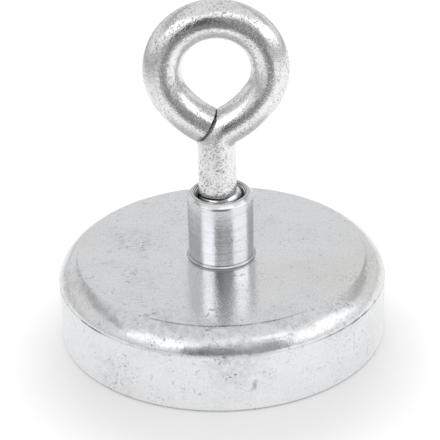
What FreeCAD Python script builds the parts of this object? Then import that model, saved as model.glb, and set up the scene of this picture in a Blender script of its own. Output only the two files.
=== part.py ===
import FreeCAD, Part

import math
import os

import Sketcher

# Pot magnet with a threaded bush and an eye bolt screwed into it, in millimetres, +Z up.
# The origin is the centre of the rim plane, which is the face that sticks to steel.
# The eye stands in the XZ plane.

document = FreeCAD.newDocument("pot_magnet")

# Driving dimensions, each written once
SIZES = [
    ("cup_diameter", 75.0, "outside of the cup"),
    ("cup_height", 19.0, "rim plane to the flat top"),
    ("shoulder_drop", 4.9, "flat top to the foot of the shoulder"),
    ("shoulder_width", 4.95, "outside of the cup to the edge of the flat top"),
    ("shoulder_radius", 7.2, "arc in the shoulder's section"),
    ("rim_width", 5.0, "wall of the cup"),
    ("back_thickness", 8.0, "back of the cup"),
    ("rim_chamfer", 0.4, "broken edges of the rim"),
    ("magnet_recess", 0.2, "magnet's face above the rim plane"),
    ("magnet_chamfer", 0.5, "broken edges of the magnet"),
    ("resin_width", 2.0, "magnet to the wall of the cup"),
    ("resin_recess", 0.45, "face of the resin above the rim plane"),
    ("resin_gap", 0.02, "resin to each wall that it is cast against"),
    ("bore_diameter", 10.0, "M10 bore of the bush, over the thread's crests"),
    ("neck_wall", 2.5, "wall of the bush's neck"),
    ("bush_height", 16.0, "flat top of the cup to the bush's rim"),
    ("foot_bevel", 0.45, "bevelled foot ring of the bush"),
    ("rim_bevel", 0.9, "bevel on the bush's rim"),
    ("mouth_bevel", 1.0, "countersink at the mouth of the bore"),
    ("spigot_wall", 1.25, "wall of the spigot through the back of the cup"),
    ("spigot_gap", 0.03, "spigot to its hole, each side"),
    ("staking", 1.2, "spread head inside the cup"),
    ("rod_diameter", 8.65, "round bar of the eye bolt"),
    ("thread_gap", 0.05, "thread's crests to the bore, each side"),
    ("thread_depth", 0.6, "top of the thread below the bush's rim"),
    ("thread_length", 18.0, "length of the thread"),
    ("thread_runout", 0.5, "cone at the top of the thread"),
    ("thread_chamfer", 1.2, "cone at the end of the thread"),
    ("eye_radius", 11.9, "centre line of the eye"),
    ("eye_height", 30.1, "bush's rim to the eye's centre"),
    ("eye_offset", -0.2, "eye's centre off the bush's axis"),
    ("shank_offset", -0.5, "shank's axis off the bush's axis"),
    ("leg_start", 56.0, "slope where the eye runs into each leg, in degrees"),
    ("leg_bow", 22.0, "centre line of both bowed legs"),
    ("bend_radius", 5.3, "centre line of the bend above the shank"),
    ("slit", 0.2, "gap at the cropped end of the second leg"),
]
sheet = document.addObject("Spreadsheet::Sheet", "Sizes")
for row, (alias, value, meaning) in enumerate(SIZES, start=1):
    sheet.set(f"A{row}", meaning)
    sheet.set(f"B{row}", str(value))
    sheet.setAlias(f"B{row}", alias)
document.recompute()

# Sizes that several pieces share, as expressions on the sheet
CUP_R = "Sizes.cup_diameter / 2"
RECESS_R = f"({CUP_R} - Sizes.rim_width)"
FLAT_R = f"({CUP_R} - Sizes.shoulder_width)"
MAGNET_R = f"({RECESS_R} - Sizes.resin_width)"
BACK_Z = "(Sizes.cup_height - Sizes.back_thickness)"
BUSH_TOP = "(Sizes.cup_height + Sizes.bush_height)"
BORE_R = "Sizes.bore_diameter / 2"
NECK_R = f"({BORE_R} + Sizes.neck_wall)"
SPIGOT_R = f"({BORE_R} + Sizes.spigot_wall)"
ROD_R = "Sizes.rod_diameter / 2"
EYE_Z = f"({BUSH_TOP} + Sizes.eye_height)"


def new_body(label):
    body = document.addObject("PartDesign::Body", label)
    body.Label = label
    return body


def number(expression):
    """The value that an expression on the sheet has now."""
    value = sheet.evalExpression(expression)
    return getattr(value, "Value", value)


def attach(feature, body, role):
    """Lays a sketch or a primitive on one of the body's own origin planes."""
    plane = next(item for item in body.Origin.OriginFeatures if item.Role == role)
    feature.AttachmentSupport = [(plane, "")]
    feature.MapMode = "FlatFace"


def new_sketch(body, role, name):
    sketch = body.newObject("Sketcher::SketchObject", name)
    attach(sketch, body, role)
    return sketch


def bind(sketch, constraint, expression):
    """Adds a dimension to a sketch and ties it to the sheet."""
    index = sketch.addConstraint(constraint)
    sketch.setExpression(f"Constraints[{index}]", expression)


def pin(sketch, edge, end, across, up):
    """Holds one end of an edge at a place given by two expressions."""
    for kind, expression in (("DistanceX", across), ("DistanceY", up)):
        value = number(expression)
        bind(sketch, Sketcher.Constraint(kind, -1, 1, edge, end, value), expression)


def turned(body, name, corners):
    """Revolves a closed section about the Z axis. A corner is (radius, height), and a third
    value is the radius of the arc that runs from it to the next corner. The corners go round
    anticlockwise, and an arc bulges out of the metal."""
    sketch = new_sketch(body, "XZ_Plane", name + "_section")
    places = [FreeCAD.Vector(number(c[0]), number(c[1]), 0) for c in corners]
    for corner, start, stop in zip(corners, places, places[1:] + places[:1]):
        if len(corner) == 2:
            sketch.addGeometry(Part.LineSegment(start, stop), False)
            continue
        radius = number(corner[2])
        chord = stop - start
        inward = FreeCAD.Vector(-chord.y, chord.x, 0).normalize()
        centre = (start + stop) / 2 + inward * math.sqrt(radius ** 2 - chord.Length ** 2 / 4)
        angles = [math.atan2(p.y - centre.y, p.x - centre.x) for p in (start, stop)]
        circle = Part.Circle(centre, FreeCAD.Vector(0, 0, 1), radius)
        sketch.addGeometry(Part.ArcOfCircle(circle, *angles), False)
    for edge, corner in enumerate(corners):
        following = (edge + 1) % len(corners)
        sketch.addConstraint(Sketcher.Constraint("Coincident", edge, 2, following, 1))
        pin(sketch, edge, 1, corner[0], corner[1])
        if len(corner) > 2:
            radius = number(corner[2])
            bind(sketch, Sketcher.Constraint("Radius", edge, radius), corner[2])
    revolution = body.newObject("PartDesign::Revolution", name)
    revolution.Profile = sketch
    revolution.ReferenceAxis = (sketch, ["V_Axis"])
    revolution.Angle = 360


# Cup: a turned steel pot with a hole for the bush's spigot, countersunk inside
cup = new_body("cup")
turned(cup, "cup_turning", [
    (f"{RECESS_R} + Sizes.rim_chamfer", "0"),
    (f"{CUP_R} - Sizes.rim_chamfer", "0"),
    (CUP_R, "Sizes.rim_chamfer"),
    (CUP_R, "Sizes.cup_height - Sizes.shoulder_drop", "Sizes.shoulder_radius"),
    (FLAT_R, "Sizes.cup_height"),
    (f"{SPIGOT_R} + Sizes.spigot_gap", "Sizes.cup_height"),
    (f"{SPIGOT_R} + Sizes.spigot_gap", f"{BACK_Z} + Sizes.staking"),
    (f"{SPIGOT_R} + Sizes.spigot_gap + Sizes.staking", BACK_Z),
    (RECESS_R, BACK_Z),
    (RECESS_R, "Sizes.rim_chamfer"),
])

# Bush: turned steel neck, seated on the flat top, its spigot staked inside the cup
bush = new_body("threaded_bush")
turned(bush, "bush_turning", [
    (BORE_R, BACK_Z),
    (f"{SPIGOT_R} + Sizes.staking", BACK_Z),
    (SPIGOT_R, f"{BACK_Z} + Sizes.staking"),
    (SPIGOT_R, "Sizes.cup_height"),
    (f"{NECK_R} + Sizes.foot_bevel", "Sizes.cup_height"),
    (NECK_R, "Sizes.cup_height + Sizes.foot_bevel"),
    (NECK_R, f"{BUSH_TOP} - Sizes.rim_bevel"),
    (f"{NECK_R} - Sizes.rim_bevel", BUSH_TOP),
    (f"{BORE_R} + Sizes.mouth_bevel", BUSH_TOP),
    (BORE_R, f"{BUSH_TOP} - Sizes.mouth_bevel"),
])

# Magnet: a plain disc against the back of the cup, its face just inside the rim plane
magnet = new_body("magnet_disc")
magnet_outline = new_sketch(magnet, "XY_Plane", "magnet_outline")
magnet_outline.addGeometry(
    Part.Circle(FreeCAD.Vector(), FreeCAD.Vector(0, 0, 1), number(MAGNET_R)), False
)
magnet_outline.addConstraint(Sketcher.Constraint("Coincident", 0, 3, -1, 1))
bind(magnet_outline, Sketcher.Constraint("Radius", 0, number(MAGNET_R)), MAGNET_R)
magnet_pad = magnet.newObject("PartDesign::Pad", "magnet_thickness")
magnet_pad.Profile = magnet_outline
magnet_pad.setExpression("Length", f"{BACK_Z} - Sizes.magnet_recess")
document.recompute()
circles = [
    f"Edge{index}" for index, edge in enumerate(magnet_pad.Shape.Edges, start=1)
    if isinstance(edge.Curve, Part.Circle)
]
magnet_edges = magnet.newObject("PartDesign::Chamfer", "magnet_edges")
magnet_edges.Base = (magnet_pad, circles)
magnet_edges.setExpression("Size", "Sizes.magnet_chamfer")
magnet.setExpression("Placement.Base.z", "Sizes.magnet_recess")

# Resin: cast round the magnet, its face just inside the magnet's
resin = new_body("potting_ring")
turned(resin, "resin_casting", [
    (f"{MAGNET_R} + Sizes.resin_gap", "Sizes.resin_recess"),
    (f"{RECESS_R} - Sizes.resin_gap", "Sizes.resin_recess"),
    (f"{RECESS_R} - Sizes.resin_gap", BACK_Z),
    (f"{MAGNET_R} + Sizes.resin_gap", BACK_Z),
])

# Eye bolt: one round bar with a screwed end, bent over the shank, up the bowed first leg, round
# the eye and down the second leg, whose cropped end closes the V against the first
bolt = new_body("eye_bolt")
THREAD_TOP = f"({BUSH_TOP} - Sizes.thread_depth)"
THREAD_END = f"({THREAD_TOP} - Sizes.thread_length)"
CREST_TOP = f"({THREAD_TOP} - Sizes.thread_runout)"
CREST_R = f"({BORE_R} - Sizes.thread_gap)"

# Each leg carries on from the eye as a wider arc. From the eye's centre, these are the middle of
# the second leg's arc, which the first leg's mirrors, then the point of the V, and the corner
# where the second leg meets the shank
BOW_X = "((Sizes.leg_bow - Sizes.eye_radius) * sin(Sizes.leg_start))"
BOW_Z = "((Sizes.leg_bow - Sizes.eye_radius) * cos(Sizes.leg_start))"
POINT_Z = f"({BOW_Z} - sqrt((Sizes.leg_bow - {ROD_R}) ^ 2 - {BOW_X} ^ 2))"
CORNER_X = f"(Sizes.shank_offset - {ROD_R} - Sizes.eye_offset)"
CORNER_Z = f"({BOW_Z} - sqrt((Sizes.leg_bow + {ROD_R}) ^ 2 - ({CORNER_X} - {BOW_X}) ^ 2))"
CROP_ANGLE = f"atan(({POINT_Z} - {CORNER_Z}) / (0 - {CORNER_X}))"
CROP_WIDTH = f"(({POINT_Z} - {CORNER_Z}) / sin({CROP_ANGLE}))"


def primitive(kind, name, sizes, across, up, angle):
    """A feature of the eye bolt that stands on the XZ plane, with its sizes, its place from the
    eye's centre and its turn in that plane given by expressions."""
    feature = bolt.newObject("PartDesign::" + kind, name)
    attach(feature, bolt, "XZ_Plane")
    feature.AttachmentOffset = FreeCAD.Placement(
        FreeCAD.Vector(), FreeCAD.Rotation(FreeCAD.Vector(0, 0, 1), number(angle))
    )
    feature.setExpression("AttachmentOffset.Base.x", f"Sizes.eye_offset + {across}")
    feature.setExpression("AttachmentOffset.Base.y", f"{EYE_Z} + {up}")
    feature.setExpression("AttachmentOffset.Rotation.Angle", angle)
    for size, expression in sizes.items():
        feature.setExpression(size, expression)
    return feature


def crop_box(name, thickness):
    """A box behind the cropped face, on the side of the first leg, as thick as given."""
    reach = "Sizes.rod_diameter"
    box = primitive(
        "SubtractiveBox", name,
        {"Length": f"{reach} + {CROP_WIDTH} + {ROD_R}", "Width": thickness,
         "Height": f"2 * {reach}"},
        f"{CORNER_X} - {reach} * cos({CROP_ANGLE}) + {thickness} * sin({CROP_ANGLE})",
        f"{CORNER_Z} - {reach} * sin({CROP_ANGLE}) - {thickness} * cos({CROP_ANGLE})",
        CROP_ANGLE,
    )
    box.setExpression("AttachmentOffset.Base.z", f"0 - {reach}")


def bent_round(name, radius, across, up, start, turn):
    """A stretch of the bar bent round a middle, from a start in the XZ plane, with an angle to
    turn through."""
    primitive("AdditiveTorus", name, {"Radius1": radius, "Radius2": ROD_R, "Angle3": turn},
              across, up, start)


# The eye and the second leg, which is cropped from the point of the V to the shank
bent_round("eye", "Sizes.eye_radius", "0", "0", "Sizes.leg_start * 1 deg - 90 deg",
           "360 deg - 2 deg * Sizes.leg_start")
bent_round("second_leg", "Sizes.leg_bow", BOW_X, BOW_Z, "270 deg - Sizes.leg_start * 1 deg",
           "Sizes.leg_start * 1 deg")
crop_box("cropped_face", "(2 * Sizes.rod_diameter)")

# The path of the screwed end: shank, bend and first leg, each tangent to the next
LEG_START_Z = f"{EYE_Z} - Sizes.eye_radius * cos(Sizes.leg_start)"
FIRST_MIDDLE = (f"Sizes.eye_offset - {BOW_X}", f"{EYE_Z} + {BOW_Z}")
leg_start = math.radians(number("Sizes.leg_start"))
leg_r = number("Sizes.leg_bow")
bend_r = number("Sizes.bend_radius")
shank_x = number("Sizes.shank_offset")
first_middle = FreeCAD.Vector(*(number(place) for place in FIRST_MIDDLE), 0)
leg_foot = math.asin((shank_x + bend_r - first_middle.x) / (leg_r + bend_r))
bend_middle = first_middle + (leg_r + bend_r) * FreeCAD.Vector(
    math.sin(leg_foot), -math.cos(leg_foot), 0)
shank_foot = FreeCAD.Vector(shank_x, number(CREST_TOP), 0)
bend_foot = FreeCAD.Vector(shank_x, bend_middle.y, 0)
toward_front = FreeCAD.Vector(0, 0, 1)

path = new_sketch(bolt, "XZ_Plane", "bar_path")
path.addGeometry(Part.LineSegment(shank_foot, bend_foot), False)
path.addGeometry(Part.ArcOfCircle(
    Part.Circle(bend_middle, toward_front, bend_r), math.pi / 2 + leg_foot, math.pi), False)
path.addGeometry(Part.ArcOfCircle(
    Part.Circle(first_middle, toward_front, leg_r), leg_foot - math.pi / 2,
    leg_start - math.pi / 2), False)
SHANK, BEND, FIRST_LEG = range(3)
path.addConstraint(Sketcher.Constraint("Tangent", SHANK, 2, BEND, 2))
path.addConstraint(Sketcher.Constraint("Tangent", BEND, 1, FIRST_LEG, 1))
path.addConstraint(Sketcher.Constraint("Vertical", SHANK))
pin(path, SHANK, 1, "Sizes.shank_offset", CREST_TOP)
pin(path, FIRST_LEG, 3, *FIRST_MIDDLE)
bind(path, Sketcher.Constraint("Radius", BEND, bend_r), "Sizes.bend_radius")
bind(path, Sketcher.Constraint("Radius", FIRST_LEG, leg_r), "Sizes.leg_bow")
bind(path, Sketcher.Constraint("DistanceY", -1, 1, FIRST_LEG, 2, number(LEG_START_Z)),
     LEG_START_Z)

bar_section = new_sketch(bolt, "XY_Plane", "bar_section")
bar_section.AttachmentOffset = FreeCAD.Placement(
    FreeCAD.Vector(0, 0, number(CREST_TOP)), FreeCAD.Rotation()
)
bar_section.setExpression("AttachmentOffset.Base.z", CREST_TOP)
bar_section.addGeometry(Part.Circle(
    FreeCAD.Vector(shank_x, 0, 0), toward_front, number(ROD_R)), False)
pin(bar_section, 0, 3, "Sizes.shank_offset", "0")
bind(bar_section, Sketcher.Constraint("Radius", 0, number(ROD_R)), ROD_R)

bar = bolt.newObject("PartDesign::AdditivePipe", "shank_and_first_leg")
bar.Profile = bar_section
bar.Spine = path
crop_box("slit_at_the_crop", "Sizes.slit")

# The screwed end: thread crests as a plain cylinder, with a cone at each end
turned(bolt, "thread", [
    ("0", THREAD_END),
    (f"{CREST_R} - Sizes.thread_chamfer", THREAD_END),
    (CREST_R, f"{THREAD_END} + Sizes.thread_chamfer"),
    (CREST_R, CREST_TOP),
    (ROD_R, THREAD_TOP),
    ("0", THREAD_TOP),
])
document.recompute()

# Every object has to be sound before anything is written
for item in document.Objects:
    if {"Invalid", "Error"} & set(item.State):
        raise RuntimeError(f"{item.Label} failed: {item.State}")
bodies = (cup, bush, magnet, resin, bolt)
for body in bodies:
    if body.Shape.isNull() or not body.Shape.isValid() or len(body.Shape.Solids) != 1:
        raise RuntimeError(f"{body.Label} is not one sound solid")

os.makedirs("parts", exist_ok=True)
for body in bodies:
    body.Shape.exportStep(f"parts/{body.Label}.step")
    print(f"{body.Label}: {body.Shape.Volume:.1f} mm3")
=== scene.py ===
import math

import bmesh
import bpy
from mathutils import Matrix, Vector


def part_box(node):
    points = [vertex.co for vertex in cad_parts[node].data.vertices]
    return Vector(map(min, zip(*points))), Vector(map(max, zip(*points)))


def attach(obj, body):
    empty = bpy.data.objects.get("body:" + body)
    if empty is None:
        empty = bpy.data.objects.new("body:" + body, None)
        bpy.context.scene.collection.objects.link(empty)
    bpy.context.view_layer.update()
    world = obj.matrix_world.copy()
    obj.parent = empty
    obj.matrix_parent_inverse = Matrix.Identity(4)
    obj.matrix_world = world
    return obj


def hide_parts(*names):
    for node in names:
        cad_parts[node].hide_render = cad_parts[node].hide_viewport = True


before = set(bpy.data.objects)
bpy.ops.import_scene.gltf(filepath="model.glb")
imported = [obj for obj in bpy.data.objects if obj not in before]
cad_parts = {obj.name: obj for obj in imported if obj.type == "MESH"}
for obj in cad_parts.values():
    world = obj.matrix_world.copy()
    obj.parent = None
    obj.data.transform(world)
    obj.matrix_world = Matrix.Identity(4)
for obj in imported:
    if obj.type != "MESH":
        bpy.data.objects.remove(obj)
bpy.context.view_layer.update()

# Cup: a round steel pot, pressed and then turned, so a faint crease runs round both edges of its
# shoulder. Its zinc plating is bright but scuffed, with pits, scratches and a few warm stains.
CUP_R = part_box("cup")[1].x
CUP_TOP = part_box("cup")[1].z
BACK_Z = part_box("magnet_disc")[1].z
CUP_WALL = 0.005
RECESS_R = CUP_R - CUP_WALL
SPIGOT_HOLE_R = 0.00628
STAKING = 0.0012
SHOULDER_DROP = 0.0049
SHOULDER_WIDTH = 0.00495
SHOULDER_R = 0.0072
SHOULDER_STEPS = 14
RIM_CHAMFER = 0.0004
RIM_ROUND = 0.00045
RIM_STEPS = 4
GROOVE = 0.0002
GROOVE_DEPTH = 0.00003
SHOULDER_FOOT_Z = CUP_TOP - SHOULDER_DROP
FLAT_R = CUP_R - SHOULDER_WIDTH
ROUND_STEPS = 256
MERGE_WITHIN = 1e-7
LARGE_FACES_LEAD = 100


class Section:
    """Half of a turned piece's section, drawn in the XZ plane and then spun about Z."""

    def __init__(self, radius, height):
        self.mesh = bmesh.new()
        self.first = self.tip = self.mesh.verts.new((radius, 0, height))

    def line(self, *corners):
        """Draws straight on to each (radius, height)."""
        for radius, height in corners:
            grown = bmesh.ops.extrude_vert_indiv(self.mesh, verts=[self.tip])
            self.tip = grown["verts"][0]
            self.tip.co = (radius, 0, height)
        return self

    def arc(self, radius, height, bend, steps):
        """Draws an arc of the radius bend, bulging out of the metal, to (radius, height)."""
        start, stop = self.tip.co.copy(), Vector((radius, 0, height))
        chord = stop - start
        inward = Vector((-chord.z, 0, chord.x)).normalized()
        centre = (start + stop) / 2 + inward * math.sqrt(bend ** 2 - chord.length_squared / 4)
        grown = bmesh.ops.spin(
            self.mesh, geom=[self.tip], cent=centre, axis=(0, -1, 0),
            angle=(start - centre).angle(stop - centre), steps=steps, use_duplicate=False)
        self.tip = next(part for part in grown["geom_last"] if isinstance(part, bmesh.types.BMVert))
        return self

    def spin(self):
        """Closes the section, spins it into a solid of revolution and returns its mesh."""
        self.mesh.edges.new((self.tip, self.first))
        bmesh.ops.spin(
            self.mesh, geom=self.mesh.verts[:] + self.mesh.edges[:], cent=(0, 0, 0),
            axis=(0, 0, 1), angle=math.tau, steps=ROUND_STEPS, use_merge=True)
        bmesh.ops.remove_doubles(self.mesh, verts=self.mesh.verts, dist=MERGE_WITHIN)
        bmesh.ops.recalc_face_normals(self.mesh, faces=self.mesh.faces)
        return self.mesh


def make_piece(name, mesh, finish, slot, *nodes):
    """Makes a piece of a mesh, smooth with flat faces kept flat, in place of the named nodes."""
    data = bpy.data.meshes.new(name)
    mesh.to_mesh(data)
    mesh.free()
    data.polygons.foreach_set("use_smooth", [True] * len(data.polygons))
    piece = bpy.data.objects.new(name, data)
    bpy.context.scene.collection.objects.link(piece)
    data.materials.append(finish)
    weighting = piece.modifiers.new("flat_faces_stay_flat", "WEIGHTED_NORMAL")
    weighting.weight = LARGE_FACES_LEAD
    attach(piece, "root")
    if nodes:
        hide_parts(*nodes)


class Value:
    """An output of a shader node, so that shader maths reads as plain expressions."""

    def __init__(self, tree, output):
        self.tree, self.output = tree, output

    def maths(self, operation, first, second=0.0, clamp=False):
        return self.tree.add(
            "ShaderNodeMath", {"operation": operation, "use_clamp": clamp}, {0: first, 1: second})

    def __add__(self, other):
        return self.maths("ADD", self, other)

    def __radd__(self, other):
        return self.maths("ADD", other, self)

    def __sub__(self, other):
        return self.maths("SUBTRACT", self, other)

    def __rsub__(self, other):
        return self.maths("SUBTRACT", other, self)

    def __mul__(self, other):
        return self.maths("MULTIPLY", self, other)

    def __rmul__(self, other):
        return self.maths("MULTIPLY", other, self)

    def clipped(self):
        return self.maths("ADD", self, 0.0, clamp=True)

    def root(self):
        return self.maths("SQRT", self)

    def unsigned(self):
        return self.maths("ABSOLUTE", self)

    def larger(self, other):
        return self.maths("MAXIMUM", self, other)


class Nodes:
    """A tree of shader nodes, with one way to add a node and to feed a socket."""

    def __init__(self, tree):
        self.nodes, self.links = tree.nodes, tree.links

    def feed(self, socket, value):
        if isinstance(value, Value):
            self.links.new(value.output, socket)
        else:
            socket.default_value = value

    def add(self, kind, settings=None, inputs=None, output=0):
        """Adds a node: its settings first, then the values or links of its sockets."""
        node = self.nodes.new(kind)
        for name, value in (settings or {}).items():
            setattr(node, name, value)
        for name, value in (inputs or {}).items():
            self.feed(node.inputs[name], value)
        return Value(self, node.outputs[output])


# Which of a Mix node's sockets hold colours
MIX_FIRST, MIX_SECOND, MIX_RESULT = 6, 7, 2


class Finish(Nodes):
    """A procedural finish: one Principled shader and the nodes that feed it."""

    def __init__(self, name, metallic=0.0):
        self.material = bpy.data.materials.new(name)
        self.material.use_nodes = True
        super().__init__(self.material.node_tree)
        self.shader = self.nodes["Principled BSDF"]
        self.give("Metallic", metallic)
        self.place = self.add("ShaderNodeTexCoord", output="Object")

    def give(self, socket, value):
        """Feeds a socket of the Principled shader."""
        self.feed(self.shader.inputs[socket], value)

    def noise(self, features, turn=(0, 0, 0), detail=3, roughness=0.5):
        """Noise with so many features a metre along X, Y and Z, and then turned."""
        place = self.add("ShaderNodeMapping", {}, {
            "Vector": self.place, "Scale": features, "Rotation": turn})
        return self.add("ShaderNodeTexNoise", {}, {
            "Vector": place, "Scale": 1.0, "Detail": detail, "Roughness": roughness})

    def steps(self, value, low, high):
        """0 below low, 1 above high, with a soft step between."""
        return self.add("ShaderNodeMapRange", {"interpolation_type": "SMOOTHSTEP"}, {
            "Value": value, "From Min": low, "From Max": high}, "Result")

    def tint(self, mask, plain, stained):
        """A colour that goes from plain to stained with a mask."""
        return self.add("ShaderNodeMix", {"data_type": "RGBA"}, {
            "Factor": mask, MIX_FIRST: plain, MIX_SECOND: stained}, MIX_RESULT)

    def bump(self, height, depth, below=None):
        """A bump of so many metres where the height is 1, over another one."""
        inputs = {"Height": height, "Distance": depth, "Strength": 1.0}
        if below:
            inputs["Normal"] = below
        return self.add("ShaderNodeBump", {}, inputs)

    def radius(self):
        """How far a place lies from the Z axis."""
        level = self.add("ShaderNodeMapping", {}, {"Vector": self.place, "Scale": (1, 1, 0)})
        return self.add("ShaderNodeVectorMath", {"operation": "LENGTH"}, {0: level}, "Value")

    def along(self, axis):
        """How far a place lies along X, Y or Z."""
        return self.add("ShaderNodeSeparateXYZ", {}, {0: self.place}, axis)

    def away_from(self, point):
        """How far a place lies from a point."""
        return self.add("ShaderNodeVectorMath", {"operation": "DISTANCE"}, {
            0: self.place, 1: point}, "Value")

    def ring(self, radius, height, width):
        """1 on a circle round the Z axis, falling to 0 at a width from it."""
        across = self.radius() - radius
        up = self.along("Z") - height
        return 1 - self.steps((across * across + up * up).root(), width * 0.35, width)

    def finish(self, colour, roughness, normal):
        """Feeds the shader with what changes over the surface, and returns the material."""
        self.give("Base Color", colour)
        self.give("Roughness", roughness)
        self.give("Normal", normal)
        return self.material


ZINC = (0.80, 0.81, 0.83, 1)
ZINC_DULL = (0.50, 0.50, 0.51, 1)
ZINC_WARM = (0.76, 0.745, 0.71, 1)
# Dark of pits and scratches, also used for painted shade and shadow lines
PIT_AND_SHADE = (0.10, 0.10, 0.10, 1)

# Where the plating is worn or stained: the place, the reach and how strongly it darkens
WORN_PLACES = [
    ((-0.0200, 0.0069, CUP_TOP), 0.0075, 0.55),
    ((-0.0170, -0.0110, CUP_TOP), 0.0060, 0.35),
    ((-0.0140, -0.0305, 0.0184), 0.0075, 0.60),
    ((-0.0059, -0.0320, 0.0182), 0.0055, 0.50),
    ((0.0150, -0.0305, 0.0182), 0.0060, 0.45),
    ((0.0020, -0.0370, 0.0135), 0.0075, 0.75),
    ((0.0279, -0.0270, 0.0155), 0.0060, 0.60),
    ((-0.0242, -0.0286, 0.0040), 0.0070, 0.45),
    ((-0.0330, -0.0120, 0.0160), 0.0070, 0.30),
]

# Where one look goes over into another: to the sides, where the painted shade at the shoulder's
# foot grows, away from the front, up from the wall, and out from the flat top
SIDES_FADE = (0.016, 0.030)
FRONT_FADE = (-0.0315, -0.024)
WALL_FADE = (SHOULDER_FOOT_Z - 0.0006, SHOULDER_FOOT_Z + 0.0008)
FLAT_FADE = (FLAT_R - 0.0006, FLAT_R + 0.0010)


def worn(zinc):
    """How worn the cup is at a place, from 0 to 1."""
    total = None
    for place, reach, depth in WORN_PLACES:
        away = zinc.away_from(place)
        here = (1 - zinc.steps(away, reach * 0.2, reach * 1.3)) * depth
        total = here if total is None else total.larger(here)
    return total


def cup_plating():
    """Zinc plating, bright on the wall and satin on top, with painted shade in the creases and a
    painted contact shadow round the bottom rim, short scratches, warm stains and clusters of dark
    pits where it is worn."""
    zinc = Finish("plated_cup", metallic=1.0)
    wear = worn(zinc)
    clouds = zinc.noise((90, 90, 90), detail=5, roughness=0.65)
    broad = zinc.noise((38, 38, 38), turn=(0.4, 0.3, 0.2))
    grains = zinc.noise((2100, 2100, 2100), detail=2, roughness=0.6)
    coarse = zinc.noise((620, 620, 620), roughness=0.6)
    clusters = zinc.steps(zinc.noise((240, 240, 240)), 0.44, 0.68)
    pits = zinc.steps(zinc.noise((1500, 1500, 1500), detail=2), 0.56, 0.66)
    pits = pits * clusters * (wear * 1.3 + 0.32).clipped()
    level = zinc.noise((240, 240, 2600), detail=2)
    steep = zinc.noise((2800, 900, 240), turn=(0.2, 0.35, 0.5), detail=2)
    across = zinc.noise((260, 2600, 260), turn=(0.1, 0.1, 0.6), detail=2)
    sparse = zinc.steps(zinc.noise((170, 170, 170), turn=(0.9, 0, 0)), 0.50, 0.64)
    strokes = zinc.steps(level, 0.64, 0.73).larger(zinc.steps(steep, 0.66, 0.75))
    strokes = strokes.larger(zinc.steps(across, 0.63, 0.73)) * sparse
    patchy = zinc.steps(clouds, 0.42, 0.58)
    sides = zinc.steps(zinc.along("X").unsigned(), *SIDES_FADE)
    in_front = 1 - zinc.steps(zinc.along("Y"), *FRONT_FADE)
    # Painted shade: dark lines along the shoulder's foot, most on the sides, and along the flat
    # top's edge in front, and a painted contact shadow round the bottom rim
    foot = zinc.ring(CUP_R, SHOULDER_FOOT_Z - GROOVE / 2, GROOVE * 1.5)
    edge = zinc.ring(FLAT_R, CUP_TOP, GROOVE * 1.6) * in_front
    rim = zinc.ring(CUP_R, 0, RIM_CHAMFER * 1.7)
    painted_shade = foot * (0.15 + sides * patchy * 0.8) + edge * (0.16 + patchy * 0.4) + rim * 0.6
    above_wall = zinc.steps(zinc.along("Z"), *WALL_FADE)
    on_shoulder = above_wall * zinc.steps(zinc.radius(), *FLAT_FADE)

    satin = zinc.steps(clouds, 0.35, 0.75)
    colour = zinc.tint(zinc.steps(broad, 0.50, 0.70) * 0.6, ZINC, ZINC_WARM)
    shade = 0.06 + satin * 0.12 + wear * zinc.steps(coarse, 0.35, 0.65) * 0.6
    mottle = (grains - 0.5) * 1.3 + (coarse - 0.5) * (0.25 + on_shoulder * 0.8)
    colour = zinc.tint((shade + mottle * (0.5 + above_wall * 0.5)).clipped(), colour, ZINC_DULL)
    colour = zinc.tint((pits * 0.8 + strokes * 0.45 + painted_shade).clipped(), colour, PIT_AND_SHADE)
    roughness = 0.17 + satin * 0.08 + wear * 0.18 + strokes * 0.1 + pits * 0.2 + on_shoulder * 0.05
    waves = zinc.noise((150, 150, 150), turn=(0.3, 0.8, 0), detail=2)
    wavy = zinc.bump(waves * on_shoulder, 0.00022)
    fine = zinc.bump(grains, 0.000013, wavy)
    uneven = zinc.bump(coarse, 0.000028, fine)
    scored = zinc.bump(strokes, -0.00001, uneven)
    return zinc.finish(colour, roughness, zinc.bump(pits, -0.00002, scored))


cup = Section(RECESS_R + RIM_CHAMFER, 0).line(
    (CUP_R - RIM_CHAMFER, 0),
).arc(CUP_R, RIM_CHAMFER, RIM_ROUND, RIM_STEPS).line(
    (CUP_R, SHOULDER_FOOT_Z - GROOVE),
    (CUP_R - GROOVE_DEPTH, SHOULDER_FOOT_Z - GROOVE / 2),
    (CUP_R, SHOULDER_FOOT_Z),
).arc(FLAT_R, CUP_TOP, SHOULDER_R, SHOULDER_STEPS).line(
    (SPIGOT_HOLE_R, CUP_TOP),
    (SPIGOT_HOLE_R, BACK_Z + STAKING),
    (SPIGOT_HOLE_R + STAKING, BACK_Z),
    (RECESS_R, BACK_Z),
    (RECESS_R, RIM_CHAMFER),
).spin()
make_piece("plated_cup", cup, cup_plating(), "cup_steel", "cup")

# Bush: a steel neck turned on the lathe, seated on the cup's flat top with a thin bevelled foot.
# Its spigot goes through the back and is staked inside. The turning marks run round it.
BUSH_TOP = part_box("threaded_bush")[1].z
BORE_R = 0.005
NECK_WALL = 0.0025
SPIGOT_WALL = 0.00125
NECK_R = BORE_R + NECK_WALL
SPIGOT_R = BORE_R + SPIGOT_WALL
FOOT_BEVEL = 0.00045
RIM_BEVEL = 0.0009
MOUTH_BEVEL = 0.001
EASED = 0.00008
EASED_OVER = math.radians(8)
EASED_STEPS = 3

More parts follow.
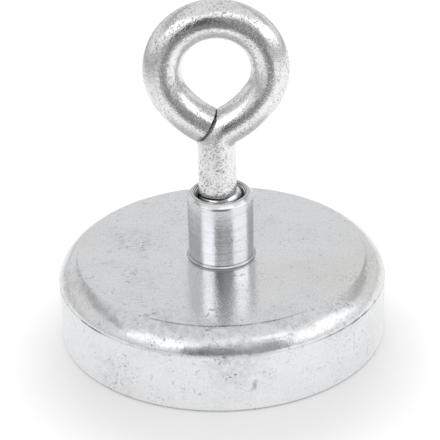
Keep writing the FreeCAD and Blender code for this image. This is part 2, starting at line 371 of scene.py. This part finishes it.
# Painted shade and a dark rim line on the bush: how wide each is, how far from the edge beside it
LINE = 0.00022
FOOT_LINE_RISE = 0.0001
FOOT_SHADE = 0.0006
RIM_LINE = 0.0003
RIM_SPOT_DROP = 0.0003
RIM_SPOT = 0.00035
RIM_SPOT_FADE = (0.0012, 0.0030)
MOUTH_SHADE = 0.0008
BORE_SHADE_DROP = 0.0003
BORE_SHADE = 0.0007

# Painted shadows of thread grooves on the bush's bevelled mouth: how far below its top each
# lies, the first along the mouth's edge
THREAD_GROOVE_SHADOWS = (-0.00008, 0.00025, 0.00058)


def ease(mesh):
    """Rounds the sharp edges of a mesh a little."""
    edges = [edge for edge in mesh.edges
             if edge.is_manifold and edge.calc_face_angle() > EASED_OVER]
    bmesh.ops.bevel(mesh, geom=edges, offset=EASED, segments=EASED_STEPS, profile=0.5,
                    affect="EDGES", material=-1, clamp_overlap=True)
    return mesh


def turned_zinc(name):
    """Bright plating over fine marks of the turning tool, which run level round the piece, with
    painted shade at the bush's foot, under its rim in front and in its mouth, painted groove
    shadows on the mouth's bevel, and a dark line round the rim's edge."""
    zinc = Finish(name, metallic=1.0)
    rings = zinc.noise((90, 90, 3600), roughness=0.7)
    bands = zinc.noise((110, 110, 1400))
    broad = zinc.noise((130, 130, 130))
    speckle = zinc.noise((1500, 1500, 1500), detail=2)
    pits = zinc.steps(speckle, 0.62, 0.72) * zinc.steps(broad, 0.45, 0.65)
    # Painted shade: dark lines at both edges of the foot bevel, and a dark spot under the rim in
    # front
    painted_shade = zinc.ring(NECK_R, CUP_TOP + FOOT_BEVEL + FOOT_LINE_RISE, LINE) * 0.5
    painted_shade = painted_shade + zinc.ring(NECK_R + FOOT_BEVEL, CUP_TOP, LINE) * 0.75
    in_middle = 1 - zinc.steps(zinc.along("X").unsigned(), *RIM_SPOT_FADE)
    under_rim = zinc.ring(NECK_R, BUSH_TOP - RIM_BEVEL - RIM_SPOT_DROP, RIM_SPOT)
    painted_shade = painted_shade + under_rim * in_middle * 0.8
    shade = zinc.steps(bands, 0.45, 0.75) * 0.3 + (rings - 0.5) * 0.9
    colour = zinc.tint(shade.clipped(), ZINC, ZINC_DULL)
    # Painted shade: the foot bevel is dulled
    foot = zinc.ring(NECK_R + FOOT_BEVEL / 2, CUP_TOP + FOOT_BEVEL / 2, FOOT_SHADE)
    colour = zinc.tint(foot * 0.8, colour, ZINC_DULL)
    colour = zinc.tint((pits * 0.6 + painted_shade).clipped(), colour, PIT_AND_SHADE)
    # Painted shade in the mouth and the top of the bore, with painted thread-groove shadows
    mouth = zinc.ring(BORE_R, BUSH_TOP - MOUTH_BEVEL, MOUTH_SHADE) * 0.8
    mouth = mouth.larger(zinc.ring(BORE_R, BUSH_TOP - BORE_SHADE_DROP, BORE_SHADE) * 0.5)
    for depth in THREAD_GROOVE_SHADOWS:
        groove_shadow = zinc.ring(BORE_R + MOUTH_BEVEL - depth, BUSH_TOP - depth, LINE) * 0.85
        mouth = mouth.larger(groove_shadow)
    rim = zinc.ring(NECK_R - RIM_BEVEL, BUSH_TOP, RIM_LINE) * 0.35
    colour = zinc.tint(mouth.larger(rim), colour, PIT_AND_SHADE)
    roughness = 0.16 + rings * 0.1
    grained = zinc.bump(speckle, 0.000034)
    cut = zinc.bump(rings, 0.000022, grained)
    return zinc.finish(colour, roughness, zinc.bump(pits, -0.00002, cut))


bush = Section(BORE_R, BACK_Z).line(
    (SPIGOT_R + STAKING, BACK_Z),
    (SPIGOT_R, BACK_Z + STAKING),
    (SPIGOT_R, CUP_TOP),
    (NECK_R + FOOT_BEVEL, CUP_TOP),
    (NECK_R, CUP_TOP + FOOT_BEVEL),
    (NECK_R, BUSH_TOP - RIM_BEVEL),
    (NECK_R - RIM_BEVEL, BUSH_TOP),
    (BORE_R + MOUTH_BEVEL, BUSH_TOP),
    (BORE_R, BUSH_TOP - MOUTH_BEVEL),
).spin()
make_piece("turned_bush", ease(bush), turned_zinc("turned_zinc"), "bush_steel", "threaded_bush")

# Magnet: a pressed and ground disc with nickel plating, held against the back of the cup.
# Only its flat face shows, from below, with the grinding marks across it.
NICKEL = (0.66, 0.65, 0.63, 1)
NICKEL_DULL = (0.5, 0.49, 0.47, 1)


def ground_nickel():
    """Satin nickel, slightly clouded, over straight grinding marks."""
    nickel = Finish("ground_nickel", metallic=1.0)
    marks = nickel.noise((2200, 70, 70), turn=(0, 0, 0.5))
    clouds = nickel.noise((60, 60, 60))
    colour = nickel.tint(nickel.steps(clouds, 0.3, 0.8) * 0.5, NICKEL, NICKEL_DULL)
    roughness = 0.26 + clouds * 0.12
    return nickel.finish(colour, roughness, nickel.bump(marks, 0.000006))


def refinish(node, finish):
    """Gives a node that is shown as it is a finish."""
    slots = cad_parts[node].data.materials
    slots.clear()
    slots.append(finish)


refinish("magnet_disc", ground_nickel())

# Resin: cast between the magnet and the cup's wall, which it holds together. It is a dull
# dark grey with a slightly uneven face.
RESIN = (0.030, 0.031, 0.033, 1)
RESIN_PALE = (0.050, 0.050, 0.050, 1)
SPECK = (0.12, 0.12, 0.12, 1)


def cast_resin():
    """Dull resin with a slow ripple and a few pale specks."""
    resin = Finish("cast_resin")
    ripple = resin.noise((260, 260, 260), detail=4)
    specks = resin.steps(resin.noise((1800, 1800, 1800)), 0.62, 0.72)
    colour = resin.tint(resin.steps(ripple, 0.3, 0.7), RESIN, RESIN_PALE)
    colour = resin.tint(specks * 0.5, colour, SPECK)
    return resin.finish(colour, 0.42 + ripple * 0.2, resin.bump(ripple, 0.00012))


refinish("potting_ring", cast_resin())

# Eye bolt: one round bar, cold bent. The shank bends sharply into the bowed first leg, which runs
# on round the eye, and the second leg ends in a cropped face that closes the V against the shank.
BOLT_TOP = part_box("eye_bolt")[1].z
BAR_R = 0.004325
EYE_R = 0.0119
EYE = Vector((-0.0002, 0, BOLT_TOP - EYE_R - BAR_R))
SHANK_X = -0.0005
BEND_R = 0.0053
LEG_START = math.radians(56)
LEG_BOW = 0.022
SLIT = 0.0002
CREST_R = 0.00495
THREAD_DEPTH = 0.00092
ROOT_R = CREST_R - THREAD_DEPTH
THREAD_ABOVE_BUSH = 0.0001
THREAD_LENGTH = 0.0187
THREAD_TOP = BUSH_TOP + THREAD_ABOVE_BUSH
THREAD_END = THREAD_TOP - THREAD_LENGTH
THREAD_CHAMFER = 0.0012
RUNOUT = 0.0004
PITCH = 0.0015
THREAD_STEPS = 96
BAR_FACETS = 64
SHANK_STEPS = 24
BEND_STEPS = 16
LEG_STEPS = 16
EYE_STEPS = 96

# The middle of each leg's arc, and how far each leg runs round it
BOW = LEG_BOW - EYE_R
FIRST_MIDDLE = EYE + Vector((-BOW * math.sin(LEG_START), 0, BOW * math.cos(LEG_START)))
SECOND_MIDDLE = EYE + Vector((BOW * math.sin(LEG_START), 0, BOW * math.cos(LEG_START)))
LEG_FOOT = math.asin((SHANK_X + BEND_R - FIRST_MIDDLE.x) / (LEG_BOW + BEND_R))
BEND_MIDDLE = FIRST_MIDDLE + (LEG_BOW + BEND_R) * Vector(
    (math.sin(LEG_FOOT), 0, -math.cos(LEG_FOOT)))

# The seam where the second leg is cropped: from the point of the V to the corner with the shank
BOWED = SECOND_MIDDLE - EYE
POINT = EYE + Vector((0, 0, BOWED.z - math.sqrt((LEG_BOW - BAR_R) ** 2 - BOWED.x ** 2)))
CORNER_X = SHANK_X - BAR_R
CORNER = Vector((CORNER_X, 0, SECOND_MIDDLE.z - math.sqrt(
    (LEG_BOW + BAR_R) ** 2 - (SECOND_MIDDLE.x - CORNER_X) ** 2)))
FALL = (CORNER - POINT).normalized()
FACING = Vector((-FALL.z, 0, FALL.x))
SEAM = 0.0001


def swept_bar():
    """Sweeps the bar's skin along shank, bend, first leg, eye and second leg, and returns it with
    the second leg's faces."""
    mesh = bmesh.new()
    bmesh.ops.create_circle(mesh, cap_ends=True, segments=BAR_FACETS, radius=BAR_R)
    bmesh.ops.translate(mesh, verts=mesh.verts, vec=(SHANK_X, 0, THREAD_TOP - RUNOUT))
    tip = mesh.edges[:]
    rise = (BEND_MIDDLE.z - THREAD_TOP + RUNOUT) / SHANK_STEPS
    for _ in range(SHANK_STEPS):
        grown = bmesh.ops.extrude_edge_only(mesh, edges=tip)["geom"]
        verts = [part for part in grown if isinstance(part, bmesh.types.BMVert)]
        tip = [part for part in grown if isinstance(part, bmesh.types.BMEdge)
               and all(vert in verts for vert in part.verts)]
        bmesh.ops.translate(mesh, verts=verts, vec=(0, 0, rise))
    for middle, axis, angle, steps in (
            (BEND_MIDDLE, (0, 1, 0), math.pi / 2 - LEG_FOOT, BEND_STEPS),
            (FIRST_MIDDLE, (0, -1, 0), LEG_START - LEG_FOOT, LEG_STEPS),
            (EYE, (0, -1, 0), math.tau - 2 * LEG_START, EYE_STEPS),
            (SECOND_MIDDLE, (0, -1, 0), LEG_START, LEG_STEPS * 2)):
        before = set(mesh.faces)
        grown = bmesh.ops.spin(mesh, geom=tip, cent=middle, axis=axis, angle=angle, steps=steps,
                               use_duplicate=False)["geom_last"]
        tip = [part for part in grown if isinstance(part, bmesh.types.BMEdge)]
    return mesh, [face for face in mesh.faces if face not in before]


def crop(mesh, leg):
    """Cuts the second leg on the seam's plane and closes its end."""
    geom = leg + list({edge for face in leg for edge in face.edges})
    geom += list({vert for face in leg for vert in face.verts})
    cut = bmesh.ops.bisect_plane(
        mesh, geom=geom, dist=MERGE_WITHIN, plane_co=POINT - FACING * SLIT, plane_no=FACING,
        clear_outer=True)["geom_cut"]
    rim = [part for part in cut if isinstance(part, bmesh.types.BMEdge)]
    bmesh.ops.contextual_create(mesh, geom=rim)
    return mesh


def screwed_end():
    """The thread: a zigzag section spun once round with a rise of one pitch, cut level at both
    ends, and turned down to a cone there. Crest and root are an eighth of the pitch wide."""
    height = THREAD_END - PITCH
    section = Section(CREST_R, height)
    while height < THREAD_TOP + PITCH:
        section.line((CREST_R, height + PITCH / 8), (ROOT_R, height + PITCH / 2),
                     (ROOT_R, height + PITCH * 5 / 8), (CREST_R, height + PITCH))
        height += PITCH
    mesh = section.mesh
    bmesh.ops.spin(mesh, geom=mesh.verts[:] + mesh.edges[:], cent=(0, 0, 0), axis=(0, 0, 1),
                   angle=math.tau, steps=THREAD_STEPS, dvec=(0, 0, PITCH / THREAD_STEPS))
    bmesh.ops.remove_doubles(mesh, verts=mesh.verts, dist=MERGE_WITHIN)
    for level, side in ((THREAD_END, -1), (THREAD_TOP, 1)):
        cut = bmesh.ops.bisect_plane(
            mesh, geom=mesh.verts[:] + mesh.edges[:] + mesh.faces[:], dist=MERGE_WITHIN,
            plane_co=(0, 0, level), plane_no=(0, 0, side), clear_outer=True)["geom_cut"]
        rim = [part for part in cut if isinstance(part, bmesh.types.BMEdge)]
        bmesh.ops.contextual_create(mesh, geom=rim)
    for vert in mesh.verts:
        radius = vert.co.xy.length
        room = min(CREST_R - THREAD_CHAMFER + vert.co.z - THREAD_END,
                   BAR_R + (THREAD_TOP - vert.co.z) * (CREST_R - BAR_R) / RUNOUT)
        if radius > room:
            vert.co.xy *= room / radius
    bmesh.ops.recalc_face_normals(mesh, faces=mesh.faces)
    return mesh


ZINC_NEUTRAL = (0.86, 0.86, 0.86, 1)
ZINC_SCALED = (0.36, 0.36, 0.36, 1)


def cold_bent_zinc():
    """Plating over drawn bar: grainy and pitted all over, faintly streaked along the shank, with
    a painted shadow line down the seam."""
    zinc = Finish("cold_bent_zinc", metallic=1.0)
    clouds = zinc.noise((120, 120, 120), detail=4, roughness=0.65)
    grains = zinc.noise((2300, 2300, 2000), detail=2, roughness=0.65)
    coarse = zinc.noise((620, 620, 480), roughness=0.65)
    clusters = zinc.steps(zinc.noise((200, 200, 150)), 0.36, 0.66)
    pits = zinc.steps(zinc.noise((2100, 2100, 1500), detail=2), 0.54, 0.64)
    pits = pits * clusters
    drawn = zinc.noise((1500, 1500, 260), turn=(0, 0.2, 0), detail=2)
    shade = 0.05 + zinc.steps(clouds, 0.4, 0.75) * 0.16 + (grains - 0.5) * 1.6 + (drawn - 0.5) * 0.6
    colour = zinc.tint(shade.clipped(), ZINC_NEUTRAL, ZINC_SCALED)
    # Painted shadow: a dark line down the seam between the cropped leg and the shank
    aside = zinc.add("ShaderNodeVectorMath", {"operation": "DOT_PRODUCT"},
                     {0: zinc.place, 1: FACING}, "Value") - POINT.dot(FACING) + SLIT / 2
    seam_shadow = 1 - zinc.steps(aside.unsigned(), SEAM, SEAM * 2)
    height = zinc.along("Z")
    seam_shadow = seam_shadow * zinc.steps(height, CORNER.z - SEAM, CORNER.z)
    seam_shadow = seam_shadow * (1 - zinc.steps(height, POINT.z, POINT.z + SEAM))
    colour = zinc.tint((pits * 0.5 + seam_shadow * 0.8).clipped(), colour, PIT_AND_SHADE)
    roughness = 0.13 + clouds * 0.08 + pits * 0.2
    grained = zinc.bump(grains, 0.00005)
    uneven = zinc.bump(coarse, 0.00006, grained)
    return zinc.finish(colour, roughness, zinc.bump(pits, -0.00003, uneven))


bar, second_leg = swept_bar()
bent_bar = crop(bar, second_leg)
bmesh.ops.recalc_face_normals(bent_bar, faces=bent_bar.faces)
make_piece("bent_bar", bent_bar, cold_bent_zinc(), "bolt_steel", "eye_bolt")
make_piece("screwed_end", screwed_end(), turned_zinc("cut_thread"), "bolt_steel")

# Studio: soft boxes in front to the left and right and above the camera, in a white room. Dark
# cards that only reflections see stand for the room behind the camera, its far walls and the
# table in front.
FOCAL_PIXELS = 2050.8
PICTURE_PIXELS = 440
DISTANCE = 0.4674
ELEVATION = math.radians(28.353)
ROLL = math.radians(-1.413)
AIM = Vector((-0.000147, 0, 0.02748))
NEAREST_SEEN = 0.01
LAMP_DISTANCE = 1.0
ROOM_DISTANCE = 1.1
BLACK = (0, 0, 0, 1)
WHITE = (1, 1, 1, 1)

scene = bpy.context.scene
scene.view_settings.view_transform = "Standard"
camera_data = bpy.data.cameras.new("camera")
camera_data.lens = camera_data.sensor_width * FOCAL_PIXELS / PICTURE_PIXELS
camera = bpy.data.objects.new("camera", camera_data)
scene.collection.objects.link(camera)
back = Vector((0, -math.cos(ELEVATION), math.sin(ELEVATION)))
camera.matrix_world = (
    Matrix.Translation(AIM + back * DISTANCE)
    @ back.to_track_quat("Z", "Y").to_matrix().to_4x4()
    @ Matrix.Rotation(ROLL, 4, "Z")
)
camera_data.clip_start = NEAREST_SEEN
scene.camera = camera


def towards(azimuth, elevation, distance):
    """The place seen from the object so many degrees to the right of the camera's side and up."""
    turn, rise = math.radians(azimuth), math.radians(elevation)
    return AIM + distance * Vector(
        (math.sin(turn) * math.cos(rise), -math.cos(turn) * math.cos(rise), math.sin(rise)))


def soft_box(name, azimuth, elevation, width, height, radiance):
    """An area lamp that faces the object and is as bright as a white of this radiance."""
    data = bpy.data.lights.new(name, "AREA")
    data.shape = "RECTANGLE"
    data.size, data.size_y = width, height
    data.energy = radiance * width * height * math.pi
    lamp = bpy.data.objects.new(name, data)
    scene.collection.objects.link(lamp)
    lamp.location = towards(azimuth, elevation, LAMP_DISTANCE)
    lamp.rotation_mode = "QUATERNION"
    lamp.rotation_quaternion = (lamp.location - AIM).to_track_quat("Z", "Y")
    lamp.visible_camera = False


soft_box("soft_box_left", -46, 33, 0.74, 0.45, 0.86)
soft_box("soft_box_right", 72, 26, 0.98, 0.54, 0.70)
soft_box("soft_box_over_camera", 26, 53, 0.80, 0.20, 0.70)


def dark_card(name, corners, shade):
    """A dark card that only reflections see."""
    mesh = bmesh.new()
    mesh.faces.new([mesh.verts.new(corner) for corner in corners])
    data = bpy.data.meshes.new(name)
    mesh.to_mesh(data)
    mesh.free()
    card = bpy.data.objects.new(name, data)
    scene.collection.objects.link(card)
    dark = Finish(name + "_card")
    dark.give("Base Color", BLACK)
    dark.give("Emission Color", (shade, shade, shade, 1))
    dark.give("Emission Strength", 1.0)
    data.materials.append(dark.material)
    card.visible_camera = card.visible_diffuse = card.visible_shadow = False


def wall_of_room(name, left, right, low, high, shade):
    """A dark upright card between two azimuths and two elevations."""
    corners = [towards(azimuth, elevation, ROOM_DISTANCE) for azimuth, elevation in (
        (left, low), (right, low), (right, high), (left, high))]
    dark_card(name, corners, shade)


wall_of_room("room_darkest", -25, 1, -4, 33, 0.06)
wall_of_room("room_dark", 1, 41, -4, 33, 0.30)
wall_of_room("room_left", -155, -69, -3, 4, 0.74)
wall_of_room("room_back_left", -160, -70, 24, 34, 0.36)
wall_of_room("room_back_right", 105, 160, 24, 34, 0.36)

CARD_HEIGHT = 0.0005
TABLE_LEFT = -20
TABLE_RIGHT = 28
TABLE_NEAR = 0.105
TABLE_MIDDLE = 0.130
TABLE_FAR = 3


def table_in_front(name, near, far, shade):
    """A dark card just above the table, between two distances from the object's axis."""
    corners = []
    for azimuth, distance in (
            (TABLE_LEFT, near), (TABLE_RIGHT, near), (TABLE_RIGHT, far), (TABLE_LEFT, far)):
        turn = math.radians(azimuth)
        corners.append((distance * math.sin(turn), -distance * math.cos(turn), CARD_HEIGHT))
    dark_card(name, corners, shade)


table_in_front("table_near", TABLE_NEAR, TABLE_MIDDLE, 0.66)
table_in_front("table_far", TABLE_MIDDLE, TABLE_FAR, 0.22)

WORLD_LIGHT = 0.82
WORLD_SEEN = 1.0
world = bpy.data.worlds.new("studio")
world.use_nodes = True
scene.world = world
room = Nodes(world.node_tree)
camera_rays = room.add("ShaderNodeLightPath", output="Is Camera Ray")
strength = room.add("ShaderNodeMapRange", {}, {
    "Value": camera_rays, "To Min": WORLD_LIGHT, "To Max": WORLD_SEEN}, "Result")
background = room.nodes["Background"]
room.feed(background.inputs["Color"], WHITE)
room.feed(background.inputs["Strength"], strength)

# Paper: a matt white sheet under the object, which keeps its real shadow in its dim diffuse part.
# It glows for the camera and for reflections, less in a soft shadow painted round the cup, and
# in reflections less the farther away it is. From below it is clear, so that the underside shows.
PAPER = (0.5, 0.5, 0.5, 1)
PAPER_GLOW = 0.62
FLOOR_SIZE = 6.0
FLOOR_GAP = 0.00005
SHADE_MIDDLE = (0, -0.018, 0)
SHADE_INNER = 0.028
SHADE_OUTER = 0.057
SHADE_DEPTH = 0.37
MIRRORED_SHADE = 0.2
GLOW_MIDDLE = (0.12, 0.06, 0)
GLOW_NEAR = 0.14
GLOW_FAR = 0.42
floor_mesh = bmesh.new()
bmesh.ops.create_grid(floor_mesh, x_segments=1, y_segments=1, size=FLOOR_SIZE / 2)
bmesh.ops.translate(floor_mesh, verts=floor_mesh.verts, vec=(0, 0, -FLOOR_GAP))
floor_data = bpy.data.meshes.new("floor")
floor_mesh.to_mesh(floor_data)
floor_mesh.free()
floor = bpy.data.objects.new("floor", floor_data)
scene.collection.objects.link(floor)
paper = Finish("white_paper")
paper.give("Roughness", 1.0)
paper.give("Base Color", PAPER)
paper.give("Specular IOR Level", 0.0)
paper.give("Emission Strength", PAPER_GLOW)
# Painted shadow: the glow darkens in a soft ring round the cup
from_cup = paper.away_from(SHADE_MIDDLE)
shade = 1 - SHADE_DEPTH * (1 - paper.steps(from_cup, SHADE_INNER, SHADE_OUTER))
from_glow = paper.away_from(GLOW_MIDDLE)
seen = paper.add("ShaderNodeLightPath", output="Is Camera Ray")
mirrored = paper.add("ShaderNodeLightPath", output="Is Glossy Ray")
mirrored = mirrored * (1 - paper.steps(from_glow, GLOW_NEAR, GLOW_FAR))
mirrored = mirrored * (1 - (1 - shade) * MIRRORED_SHADE)
paper.give("Emission Color", paper.tint((seen * shade).larger(mirrored), BLACK, WHITE))
underneath = paper.add("ShaderNodeNewGeometry", output="Backfacing")
clear = paper.add("ShaderNodeBsdfTransparent")
surface = paper.add("ShaderNodeMixShader", {}, {
    0: underneath, 1: Value(paper, paper.shader.outputs["BSDF"]), 2: clear})
paper.feed(paper.nodes["Material Output"].inputs["Surface"], surface)
floor_data.materials.append(paper.material)
